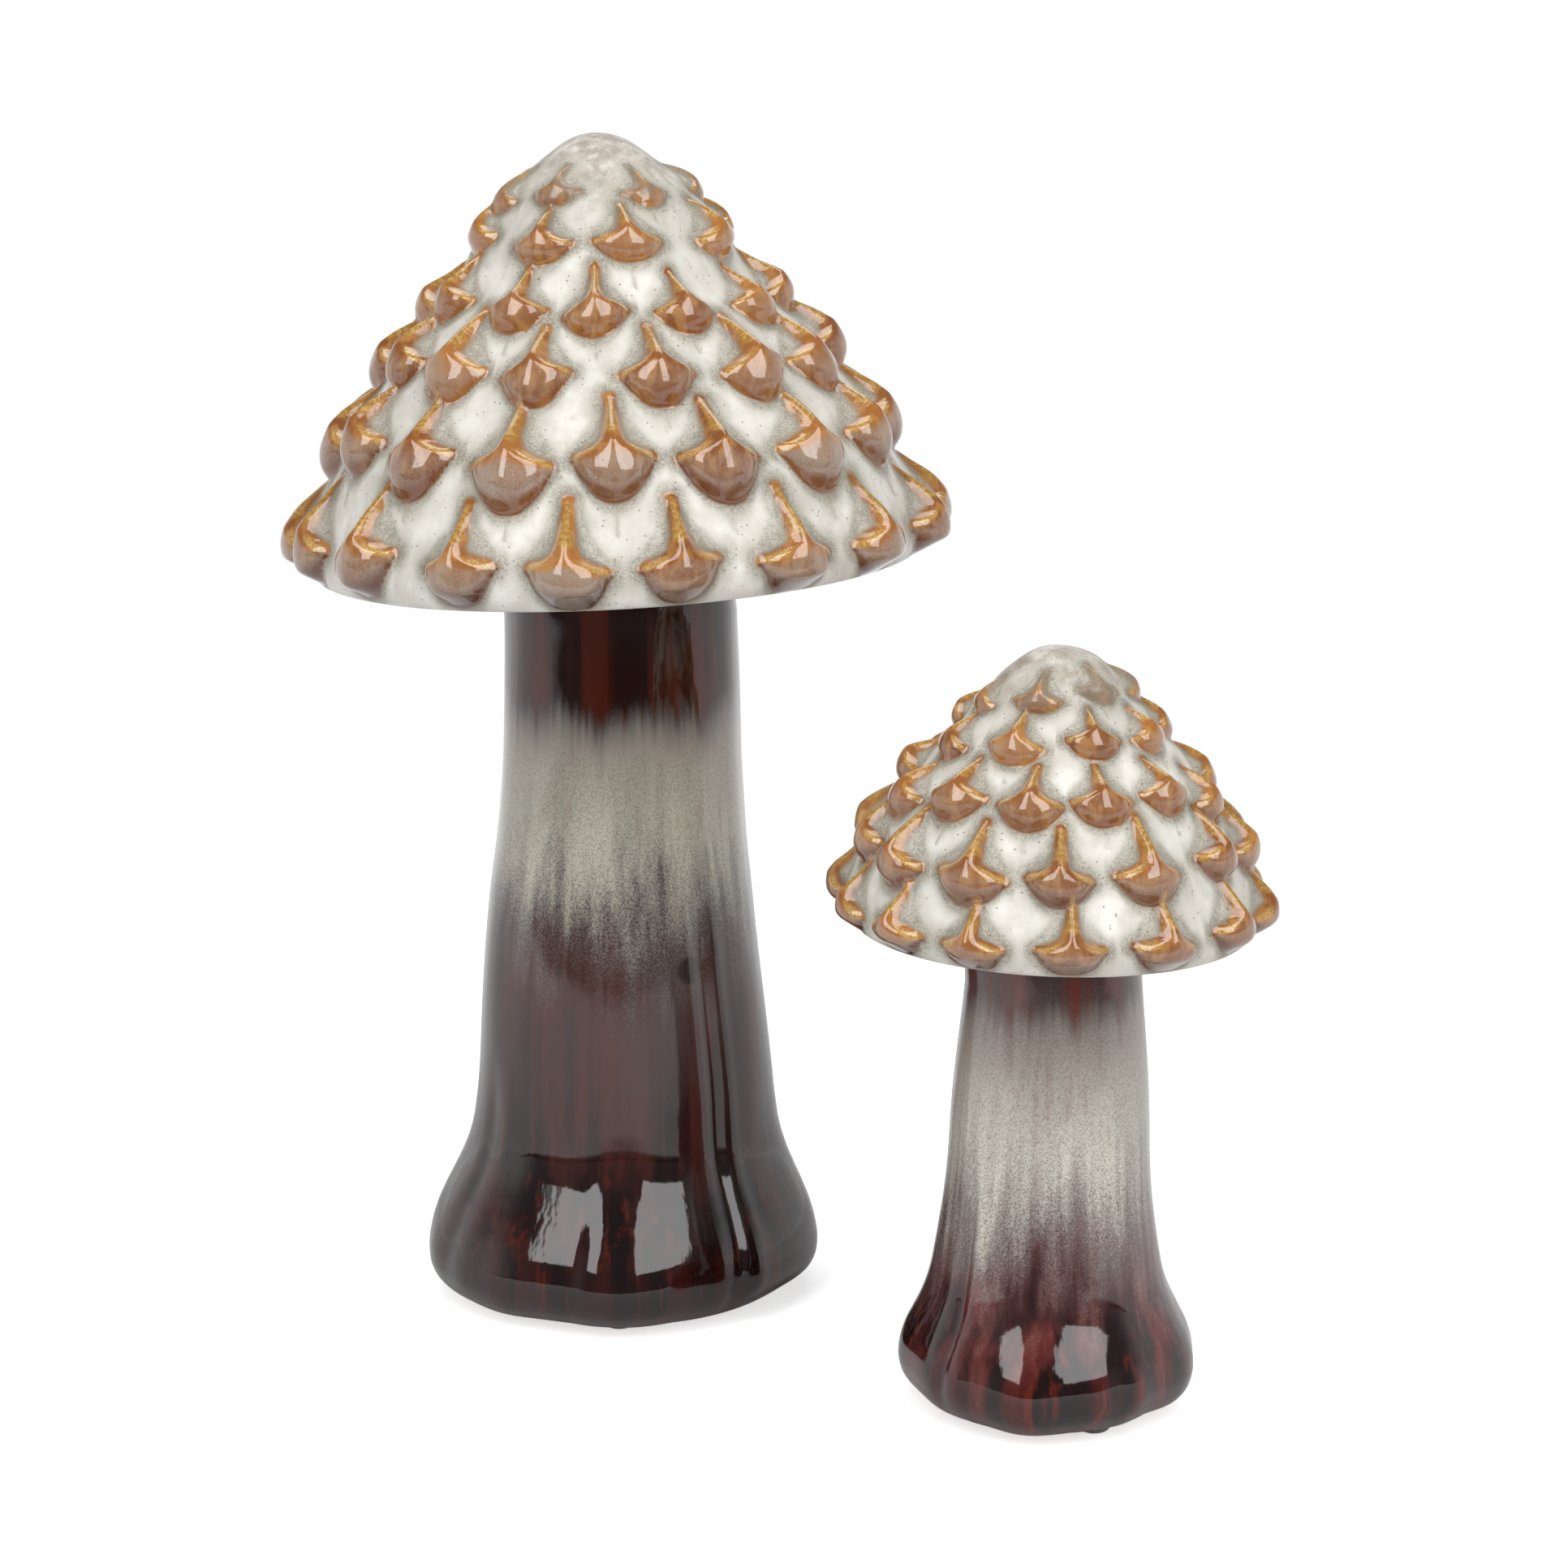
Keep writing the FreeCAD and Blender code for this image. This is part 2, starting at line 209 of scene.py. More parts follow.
class Tree:
    """A node tree, with one way of adding nodes."""

    def __init__(self, nodes_and_links):
        self.tree = nodes_and_links

    def node(self, kind, settings=None, feeds=None):
        """Add a node, choose its settings, then set or link its sockets."""
        made = self.tree.nodes.new(kind)
        for name, value in (settings or {}).items():
            setattr(made, name, value)
        for name, value in (feeds or {}).items():
            self.feed(made.inputs[name], value)
        return made

    def feed(self, socket, value):
        if isinstance(value, Number):
            value = value.socket
        if isinstance(value, bpy.types.NodeSocket):
            self.tree.links.new(value, socket)
        elif isinstance(value, (int, float)):
            socket.default_value = value
        else:
            socket.default_value = (*value, 1) if len(socket.default_value) > len(value) else value

    def number(self, kind, output, feeds=None):
        return Number(self, self.node(kind, None, feeds).outputs[output])

    def blend(self, share, first, second):
        """The first colour where the share is 0 and the second where it is 1."""
        feeds = {"Factor": share, 6: first, 7: second}
        return self.node("ShaderNodeMix", {"data_type": "RGBA"}, feeds).outputs[2]


class Glaze(Tree):
    """A material's node tree round one Principled shader."""

    def __init__(self, name, **constants):
        self.material = bpy.data.materials.new(name)
        self.material.use_nodes = True
        super().__init__(self.material.node_tree)
        self.shader = self.tree.nodes["Principled BSDF"]
        for socket, constant in constants.items():
            self.shader.inputs[socket.replace("_", " ")].default_value = constant
        self.place = self.node("ShaderNodeTexCoord").outputs["Object"]

    def paint(self, **links):
        """Link what changes over the surface to the shader."""
        for name, value in links.items():
            self.feed(self.shader.inputs[name.replace("_", " ")], value)

    def attribute(self, name):
        made = self.node("ShaderNodeAttribute", {"attribute_name": name})
        return Number(self, made.outputs["Fac"])

    def stretched(self, across, along, shift=(0, 0, 0)):
        """Object coordinates with so many pattern cells per metre across and along the axis."""
        feeds = {"Vector": self.place, "Scale": (across, across, along), "Location": shift}
        return self.node("ShaderNodeMapping", None, feeds).outputs[0]

    def mottle(self, across, along=None, detail=3, roughness=0.55, shift=(0, 0, 0)):
        """Cloudy noise from 0 to 1."""
        feeds = {
            "Vector": self.stretched(across, along or across, shift),
            "Scale": 1,
            "Detail": detail,
            "Roughness": roughness,
        }
        return Number(self, self.node("ShaderNodeTexNoise", None, feeds).outputs[0])

    def pinholes(self, cells, size, share):
        """Small round dots, one in some of the cells."""
        feeds = {"Vector": self.stretched(cells, cells), "Scale": 1}
        cell = self.node("ShaderNodeTexVoronoi", None, feeds)
        chance = self.node("ShaderNodeSeparateColor", None, {"Color": cell.outputs["Color"]}).outputs[0]
        dot = Number(self, cell.outputs["Distance"]).rise(size, size * 0.4)
        return dot * Number(self, chance).rise(1 - share, 1 - share + 0.02)

    def height(self):
        return self.number("ShaderNodeSeparateXYZ", "Z", {"Vector": self.place})

    def distance(self, middle=(0, 0, 0)):
        """Metres from a point."""
        feeds = {0: self.place, 1: middle}
        return Number(self, self.node("ShaderNodeVectorMath", {"operation": "DISTANCE"}, feeds).outputs["Value"])

    def bumped(self, relief, depth):
        """A surface direction from a height in metres."""
        feeds = {"Height": relief, "Distance": depth, "Strength": 1}
        return self.node("ShaderNodeBump", None, feeds).outputs[0]


def colour(red, green, blue):
    """A screen colour from 0 to 255 as the linear numbers that the renderer mixes."""
    shares = [channel / 255 for channel in (red, green, blue)]
    return tuple(s / 12.92 if s <= 0.04045 else ((s + 0.055) / 1.055) ** 2.4 for s in shares)


# %% [markdown]
# The cap is a cone that bulges into a shoulder and rolls under at the rim. These points are the smooth dome
# between the scales, from the apex to the rolled rim, and then the dished underside, the hole for the stem's
# spigot and the hollow inside. Heights are above the seat. A third number marks a sharp corner.

# %% Cap outlines
DOME = {
    "tall": [
        (0, 91), (4.6, 90.2), (9.8, 87.2), (17.6, 81), (23.4, 74.4), (28, 67.2), (32, 59.7), (38, 52.8),
        (44, 45.9), (49.7, 38.8), (54.9, 31.4), (59.6, 23.6), (63.7, 15.5), (67.2, 7.6), (68.2, 2.4),
        (66.3, -1.6), (62.4, -2.8),
    ],
    "short": [
        (0, 56.7), (5.5, 55.6), (10.7, 51.7), (15.5, 46), (20.3, 40.3), (25.1, 34.5), (30, 28.7), (34, 22.8),
        (37.4, 16.5), (40.2, 9.8), (42, 4.4), (41.9, 0.9), (40, -1.5), (37, -2),
    ],
}
UNDERSIDE = {
    "tall": [
        (62.4, -2.8), (46, -1.4), (28.8, 0, 1), (18, 0, 1), (18, 5, 1), (28.8, 5, 1), (59, 2.6, 1),
        (62.6, 8, 1), (40.2, 42.6, 1), (7.9, 79.8, 1), (0, 79.8, 1),
    ],
    "short": [
        (37, -2), (29, -1), (21.3, 0, 1), (13.3, 0, 1), (13.3, 4, 1), (21.3, 4, 1), (34.5, 2.2, 1),
        (37.6, 7, 1), (26, 25, 1), (10, 42, 1), (0, 46, 1),
    ],
}
CAP_TURNS = {"tall": 480, "short": 360}
CAP_FINENESS = {"tall": 11, "short": 12}
CAP_TILT = {"tall": 2.8, "short": -1.5}
BOND_THICKNESS = {"tall": 1.6, "short": 1.2}
for owner, points in DOME.items():
    print(owner, "dome is", points[0][1], "mm high and", 2 * max(radius for radius, height in points), "mm across")

# %% [markdown]
# The scales stand in rows, pressed by hand into the mould, so no row is quite even. Each row has the bearing and
# the lift of the scales that face the front, in degrees and millimetres, and how many it has in all: the rest
# share the back evenly. Then come the noses' height above the seat, the scale's half width, how far the nose
# stands out, and in half widths the rise of the ridge above the nose and the fall of the belly below it.

# %% Rows of scales
ROWS = {
    "tall": [
        ([(-70, 3), (-48, 3.4), (-26, 1.8), (-6, 1), (13.5, 1), (35, -0.2), (56, 0), (77, 0)], 18,
         8.8, 8.4, 6.2, 1.36, 1.42),
        ([(-63, 3), (-41, 0.8), (-18, -1), (3, 0), (24.5, -1.8), (47, -2.2), (69, -1.5)], 17,
         30.4, 8.5, 6.6, 1.32, 1.48),
        ([(-66, 3), (-41.5, 2), (-16, 0.5), (15.5, -0.5), (42.5, -1), (67, -1.5)], 14, 45.6, 8.0, 5.9, 1.32, 1.36),
        ([(-63, 3), (-27.5, 1), (0, 0), (29.5, -1.2), (60.5, -1.5)], 12, 57.0, 6.9, 5.3, 1.32, 1.20),
        ([(-70, 2), (-24, 0), (15, 0), (65.5, -1)], 8, 71.4, 7.0, 4.2, 0.90, 0.95),
        ([(-68, -1), (-23.5, 0.5), (32.5, -0.5), (95, -1)], 7, 80.4, 5.6, 2.7, 1.15, 1.05),
    ],
    "short": [
        ([(-75, 0), (-50, -0.5), (-25.5, -1), (1, 0), (27.5, 0), (55, 1.5)], 14, 6.8, 6.8, 4.7, 1.20, 1.15),
        ([(-57.5, -1), (-29.5, -0.5), (-2.5, 0), (25.5, 0.8), (56.5, 2)], 14, 19.4, 7.0, 5.0, 1.28, 1.15),
        ([(-74, -4), (-46, -0.5), (-14.5, -0.5), (13.5, 0.5), (43, 1), (70, -3)], 13, 32.0, 6.4, 4.4, 1.00, 1.15),
        ([(-72, -4), (-28.5, -1.5), (16, 0.5), (57.5, 0)], 9, 42.4, 5.6, 3.3, 0.95, 1.05),
        ([(-76, -3), (-22, -0.5), (32, 2)], 6, 49.4, 5.0, 2.3, 0.95, 0.90),
    ],
}


def row_of_scales(front, count):
    """Bearing and lift of every scale in a row: the given ones, then the rest evenly round the back."""
    first, last = front[0][0], front[-1][0]
    rest = count - len(front)
    gap = (360 - (last - first)) / (rest + 1)
    return front + [(last + gap * (index + 1), 0) for index in range(rest)]


for owner, rows in ROWS.items():
    print(owner, "cap has", sum(count for front, count, *sizes in rows), "scales in", len(rows), "rows")

# %% [markdown]
# One scale is a height over a flat sheet that is measured in its half widths, with the nose in the middle. The
# wing tips hang lower than the nose, by WING_FALL. The same function says where the glaze broke and where shade
# is painted round a scale: both die away over the reach set below, and a thin seam runs down from the belly.

# %% One scale
WING_FALL = 0.43
STAIN_AND_SHADE_REACH = 0.42


def hump(distance, width):
    """1 where the distance is 0, and softly down to 0 away from there."""
    return np.exp(-(distance / width) ** 2)


def past(distance, edge=0):
    """How far the distance goes past an edge, and 0 before it."""
    return np.clip(distance - edge, 0, None)


def form_of_scale(side, rise, climb, drop):
    """How far one scale stands out at points given in its half widths from the nose, and what glaze and painted
    shade lie there.

    A ridge climbs to a point. Two wings flare from the nose, and under them a round belly rolls back to the dome.
    """
    reach = np.abs(side)
    near = np.clip(reach, 0, 1)
    inside = reach < 1
    crest_line = -WING_FALL * (1 - (1 - near) ** 1.8)
    hem_line = -WING_FALL - (drop - WING_FALL) * (1 - near ** 2.2) ** 0.9
    crest_height = (1 - near ** 5) ** 0.8 * (1 - 0.40 * near)
    fall = np.clip((crest_line - rise) / np.maximum(crest_line - hem_line, 0.02), 0, 1)
    keel = 0.06 * hump(side, 0.26) * (1 - fall)
    belly = (crest_height * (1 - fall ** 2.6) ** 0.62 + keel) * inside
    above = past(rise, crest_line)
    share = np.clip(rise / climb, 0, 1)
    ridge_width = 0.10 + 0.05 * (1 - share) + 0.25 * (1 - share) ** 3
    wings = crest_height * inside * hump(above, 0.17)
    ridge = (1 - share ** 2) ** 0.7 * (1 - 0.4 * share) * np.exp(-np.abs(side / ridge_width) ** 1.8)
    flank = 0.24 * (1 - share) ** 1.1 * hump(side, 0.62)
    height = np.where(rise < crest_line, belly, np.maximum.reduce([wings, ridge, flank]))

    # The cream is thin over the flanks, and shade is painted in their hollow, so up to the sail's edge a step away
    # from the wing counts for little.
    sail = 0.30 + climb * (1 - near) ** 1.2
    from_wing = np.clip(above - 0.08, 0, 0.22) + 0.22 * np.clip(above - 0.30, 0, sail) + past(above, sail)
    below = past(hem_line, rise)
    beside = np.hypot(past(reach, 1), rise + WING_FALL)
    from_body = np.where(inside, below + from_wing, beside)
    from_ridge = np.hypot(past(reach, 0.55 * ridge_width), past(rise, climb) + past(-rise))
    marks = {
        "stain": np.exp(-np.minimum(from_body, from_ridge) / STAIN_AND_SHADE_REACH),
        "crest": hump(rise - crest_line - 0.02, 0.11) * np.clip((1.1 - reach) * 5, 0, 1)
        * np.clip(reach * 2, 0.2, 1),
        "spine": hump(side, ridge_width * 0.8) * np.clip(rise * 4 + 0.2, 0, 1)
        * np.clip((1.05 - rise / climb) * 6, 0, 1),
        "belly": fall * (rise < crest_line),
        "seam": hump(side, 0.07) * np.clip((-rise - drop) * 6, 0, 1)
        * np.clip((drop + 1.5 + rise) * 3, 0, 1),
    }
    return height, marks


# %% [markdown]
# The turned dome is dense enough to be sculpted in code. Each point looks for the nearest scale of every row,
# asks how far it stands out there, and moves along its own outward direction, and a little down, so that bellies
# hang over. No two scales are quite alike: a little chance changes their size, lean, climb, height and tone. They
# fade out over the last millimetres to the apex and to the rim's lowest line, which stays where it was and meets
# the underside. What form_of_scale finds is kept as attributes: the glaze breaks on edges and pools in hollows.

# %% Caps
GLAZE_MARKS = ("stain", "crest", "spine", "belly", "seam", "tone", "ripple")
CHANCE = {"tall": 7, "short": 12}
LIFT_SHARE = 0.8
SIZE_CHANCE, LEAN_CHANCE, CLIMB_CHANCE, STAND_CHANCE, TONE_CHANCE = 0.06, 0.10, 0.08, 0.10, 0.5
MIDDLE_TONE = 0.5
RIM_FADE = 5
APEX_FADE = 6
SAG = 0.13
UNEVEN = ((45, 0.6), (120, 0.30))


def arc_from_apex(level, radius, heights):
    """Length along the dome's outline from its apex down to the given heights."""
    steps = np.hypot(np.diff(radius), np.diff(level))
    return np.interp(-heights, -level, np.concatenate([[0], np.cumsum(steps)]))


def sculpt_scales(bm, owner, points):
    """Move the dome's points out into scales, and keep on each point what its glaze needs to know."""
    chance = np.random.default_rng(CHANCE[owner])
    place = np.array([v.co for v in points]) / MM
    out = np.array([v.normal for v in points])
    radius = np.hypot(place[:, 0], place[:, 1])
    angle = np.degrees(np.arctan2(place[:, 0], -place[:, 1]))
    on_line = np.abs(angle - angle[np.argmax(radius)]) < 0.01
    order = np.argsort(-place[on_line, 2])
    level, reach = place[on_line, 2][order], radius[on_line][order]
    arc = arc_from_apex(level, reach, place[:, 2])
    marks = {name: np.zeros(len(points)) for name in GLAZE_MARKS}
    marks["tone"] += MIDDLE_TONE
    height = np.zeros(len(points))
    for front, count, nose, half, stand, climb, drop in ROWS[owner]:
        scales = np.array(row_of_scales(front, count), float)
        away = (angle[:, None] - scales[None, :, 0] + 180) % 360 - 180
        which = np.argmin(np.abs(away), axis=1)
        away = away[np.arange(len(points)), which]
        nose_arc = arc_from_apex(level, reach, nose + LIFT_SHARE * scales[:, 1])
        wobble = chance.uniform(-1, 1, (count, 5))
        size = half * (1 + SIZE_CHANCE * wobble[:, 0])
        side = np.radians(away) * radius / size[which]
        rise = (nose_arc[which] - arc) / size[which] + LEAN_CHANCE * side * wobble[which, 1]
        found, found_marks = form_of_scale(side, rise, climb * (1 + CLIMB_CHANCE * wobble[which, 2]), drop)
        stands = found * stand * (1 + STAND_CHANCE * wobble[which, 3])
        found_marks |= {"tone": MIDDLE_TONE + TONE_CHANCE * wobble[which, 4], "ripple": rise * half}
        nearest = found_marks["stain"] > marks["stain"]
        for name, values in found_marks.items():
            marks[name] = np.where(nearest, values, marks[name])
        height = np.maximum(height, stands)
    under = np.clip((place[:, 2] - level.min()) / RIM_FADE, 0, 1)
    fade = under * np.clip(radius / APEX_FADE, 0, 1)
    out[:, 2] = np.maximum(out[:, 2], -0.05)
    place += out * (height * fade)[:, None]
    place[:, 2] -= SAG * height * fade * np.clip((place[:, 2] - 2) / 8, 0, 1)
    for v, moved, rim in zip(points, place, under):
        v.co = Vector(moved) * MM
        swell = sum(noise.noise(v.co * cells) * depth for cells, depth in UNEVEN)
        v.co += v.normal * swell * MM * rim
    for name, values in marks.items():
        layer = bm.verts.layers.float[name]
        for v, value in zip(points, values):
            v[layer] = float(value)
    soft = [v for v, rim in zip(points, under) if rim > 0.3]
    for smoothing in range(2):
        bmesh.ops.smooth_vert(bm, verts=soft, factor=0.5, use_axis_x=True, use_axis_y=True, use_axis_z=True)


def seat_matrix(owner):
    """From a cap's own axis to its seat on the bond, leaning sideways."""
    seat = SHOULDER[owner] + UP * BOND_THICKNESS[owner] * MM
    return Matrix.Translation(seat) @ Matrix.Rotation(math.radians(CAP_TILT[owner]), 4, (0, -1, 0))


def make_cap(owner, glaze):
    bm = bmesh.new()
    bm.from_mesh(turned("dome", DOME[owner], CAP_FINENESS[owner], CAP_TURNS[owner]))
    for name in GLAZE_MARKS:
        bm.verts.layers.float.new(name)
    bmesh.ops.recalc_face_normals(bm, faces=bm.faces[:])
    bm.normal_update()
    if max(bm.verts, key=lambda v: v.co.z).normal.z < 0:
        bmesh.ops.reverse_faces(bm, faces=bm.faces[:])
        bm.normal_update()
    sculpt_scales(bm, owner, bm.verts[:])
    domed = len(bm.faces)
    bm.from_mesh(turned("underside", UNDERSIDE[owner], 2, CAP_TURNS[owner]))
    print(owner, "cap: dome", domed, "faces, underside", len(bm.faces) - domed)
    bmesh.ops.transform(bm, matrix=seat_matrix(owner), verts=bm.verts[:])
    return finish_piece(bm, f"{owner}_cap_glazed", f"{owner}_mushroom", "cap_glaze", glaze, f"{owner}_cap")


# %% [markdown]
# A stem is turned like the dome, from its sole up the rolled foot, the flare and the shaft to the shoulder and
# the spigot, and back down the inside. It was pressed by hand into its mould, so it isn't true: the foot has
# lobes and sits a little off the shaft's axis, the shaft swells here and there, and creases run down it. The foot
# has a few large lobes, given as depth, number and turn, and many fine ones. A crease has a bearing, the heights
# of its upper and lower end, its depth and its half width in degrees, and it wanders a little as it runs down.

# %% Stem outlines
STEM = {
    "tall": [
        (27.9, 1.5, 1), (35.5, 1.5), (38.8, 2.1), (41.6, 3.8), (43.6, 6.6), (44.3, 10), (43.9, 14), (42.6, 18.5),
        (40.8, 22.6), (38.6, 27), (36.4, 32), (34.9, 37), (34, 43), (33.4, 50), (32.8, 59), (32, 70), (31, 82),
        (29.9, 93), (28.5, 104), (27.3, 116), (26.4, 128), (25.7, 140), (25.1, 152), (24.9, 162), (24.6, 166.4),
        (23.9, 167.4, 1), (17, 167.4, 1), (17, 173.4, 1),
    ],
    "short": [
        (16.4, 1.5, 1), (23, 1.5), (26.4, 2.2), (29.2, 4.4), (30.7, 7.6), (30.9, 11), (30, 15), (28.2, 19),
        (26.4, 23), (24.9, 27.5), (23.8, 33), (22.8, 39), (21.8, 46), (21.1, 54), (20.7, 63), (20.2, 72),
        (19.5, 81), (18.8, 90), (18.4, 98), (18.1, 102.2), (17.6, 103.1, 1), (12.5, 103.1, 1), (12.5, 108.1, 1),
    ],
}
STEM_INSIDE = {
    "tall": [
        (17, 173.4, 1), (13.5, 173.4, 1), (13.5, 165, 1), (19.8, 157, 1), (24.4, 94, 1), (28, 50, 1),
        (38.5, 12, 1), (34, 7.7, 1), (5, 7.7, 1), (5, 2.7, 1), (27.9, 2.7, 1), (27.9, 1.5, 1),
    ],
    "short": [
        (12.5, 108.1, 1), (9.5, 108.1, 1), (9.5, 101, 1), (14.3, 95, 1), (16.5, 64, 1), (18.8, 36, 1),
        (26, 9, 1), (23, 6.5, 1), (4, 6.5, 1), (4, 2.5, 1), (16.4, 2.5, 1), (16.4, 1.5, 1),
    ],
}
STEM_TURNS = {"tall": 304, "short": 264}
STEM_FINENESS = {"tall": 9, "short": 8}
SOLE = 1.6
FOOT_LOBES = {"tall": (0.9, 5, 0.4), "short": (0.7, 4, 1.9)}
FINE_LOBES = (0.5, 9)
FOOT_SHIFT = {"tall": Vector((-1.5, 0.6, 0)), "short": Vector((0.5, 0.6, 0))}
SHAFT_SHIFT = {"tall": Vector((0.2, 0, 0)), "short": Vector((0.8, 0, 0))}
FOOT_SHARE = 0.3
FREE_FROM = 12
SWELL = 1.7
RIPPLE = 0.45
WANDER = (2.2, 21)
CREASES = {
    "tall": [(38, 96, 10, 1.0, 3.4), (-14, 34, 8, 0.5, 3.5), (-62, 60, 12, 0.5, 5.0), (120, 90, 12, 0.9, 4.0)],
    "short": [(-52, 60, 10, 0.7, 4.0), (24, 26, 8, 0.4, 5.0), (150, 70, 10, 0.7, 4.0)],
}
for owner, points in STEM.items():
    print(owner, "stem is", points[-1][1], "mm high and", 2 * max(radius for radius, *rest in points), "mm across")


def shape_stem(owner, points):
    """Press the turned stem out of true: lobes at the foot, soft swellings, and creases that run down it."""
    depth, lobes, offset = FOOT_LOBES[owner]
    fine_depth, fine_lobes = FINE_LOBES
    wander, wave = WANDER
    top = SHOULDER[owner].z
    for v in points:
        angle = math.atan2(v.co.x, -v.co.y)
        outward = Vector((v.co.x, v.co.y, 0)).normalized()
        share = v.co.z / top
        low = max(0, 1 - share / FOOT_SHARE)
        free = min(1, max(0, (top - v.co.z) / (FREE_FROM * MM)))
        press = depth * low ** 1.3 * math.sin(lobes * angle + offset)
        press += fine_depth * low * math.sin(fine_lobes * angle + 2 * offset)
        swell = noise.noise(Vector((v.co.x * 30, v.co.y * 30, v.co.z * 17)) + Vector((offset, 0, 0)) * 3)
        press += swell * SWELL * free
        press += noise.noise(Vector((v.co.x * 90, v.co.y * 90, v.co.z * 14))) * RIPPLE * free
        for middle, high, foot, deep, wide in CREASES[owner]:
            drift = wander * math.sin(v.co.z / MM / wave)
            off = (math.degrees(angle) - middle - drift + 180) % 360 - 180
            along = min(1, max(0, (high - v.co.z / MM) / 14)) * min(1, max(0, (v.co.z / MM - foot + 8) / 8))
            press -= deep * along * (hump(off, wide) - 0.55 * hump(off - 2.2 * wide, wide))
        shift = FOOT_SHIFT[owner] * low + SHAFT_SHIFT[owner] * free * min(1, share * 5)
        v.co += (outward * press + shift) * MM


def make_stem(owner, glaze):
    bm = bmesh.new()
    bm.from_mesh(turned("outside", STEM[owner], STEM_FINENESS[owner], STEM_TURNS[owner]))
    rim = max(v.co.z for v in bm.verts)
    shape_stem(owner, [v for v in bm.verts if SOLE * MM < v.co.z < rim])
    bm.from_mesh(turned("inside", STEM_INSIDE[owner], 2, STEM_TURNS[owner]))
    bmesh.ops.translate(bm, verts=bm.verts[:], vec=(SHOULDER[owner].x, SHOULDER[owner].y, 0))
    return finish_piece(bm, f"{owner}_stem_glazed", f"{owner}_mushroom", "stem_glaze", glaze, f"{owner}_stem")


# %% [markdown]
# The bond is a thin ring in the joint under the cap, a little uneven at its edge. Under the foot sit three clear
# dots. Each is a low dome: a short line turned about its own middle, once for each place round the foot.

# %% Bond and dots
SPIGOT_RADIUS = {"tall": 17, "short": 12.5}
DOT = [(0, 0, 1), (2.2, 0, 1), (3.0, 0.3), (3.5, 0.95), (3.5, 1.5, 1), (0, 1.5, 1)]
DOT_CIRCLE = {"tall": (31.9, 270), "short": (19.9, 297)}


def make_bond(owner, glaze):
    low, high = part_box(f"{owner}_joint_ring")
    outer = (high.x - low.x) / 2 / MM
    inner = SPIGOT_RADIUS[owner]
    thick = BOND_THICKNESS[owner] * 0.96
    bm = bmesh.new()
    section = [
        (inner, 0, 1), (outer - 0.3, 0), (outer, thick * 0.3), (outer, thick * 0.7), (outer - 0.3, thick),
        (inner, thick, 1), (inner, 0, 1),
    ]
    bm.from_mesh(turned("bond", section, 3, 120))
    for v in bm.verts:
        radius = math.hypot(v.co.x, v.co.y)
        if radius > (outer - 1) * MM:
            v.co.xy *= 1 + 0.012 * noise.noise(v.co * 160) - 0.006
    tilt = Matrix.Rotation(math.radians(CAP_TILT[owner]) / 2, 4, (0, -1, 0))
    bmesh.ops.transform(bm, matrix=Matrix.Translation(SHOULDER[owner]) @ tilt, verts=bm.verts[:])
    return finish_piece(bm, f"{owner}_bond", f"{owner}_mushroom", "bond", glaze, f"{owner}_joint_ring")


def make_dots(owner, rubber):
    """Three dots, where the CAD node's own lie."""
    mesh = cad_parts[f"{owner}_bumper_feet"].data
    axis = SHOULDER[owner]
    radius, phase = DOT_CIRCLE[owner]
    bm = bmesh.new()
    for index in range(3):
        turn = math.radians(phase + 120 * index)
        middle = Vector((axis.x + radius * MM * math.cos(turn), axis.y + radius * MM * math.sin(turn), 0))
        before = len(bm.verts)
        bm.from_mesh(turned("dot", DOT, 4, 32))
        bmesh.ops.translate(bm, verts=bm.verts[:][before:], vec=middle)
    print(owner, "dots stand on", len(mesh.polygons), "CAD triangles")
    return finish_piece(bm, f"{owner}_dots", f"{owner}_mushroom", "clear_bumper", rubber, f"{owner}_bumper_feet")
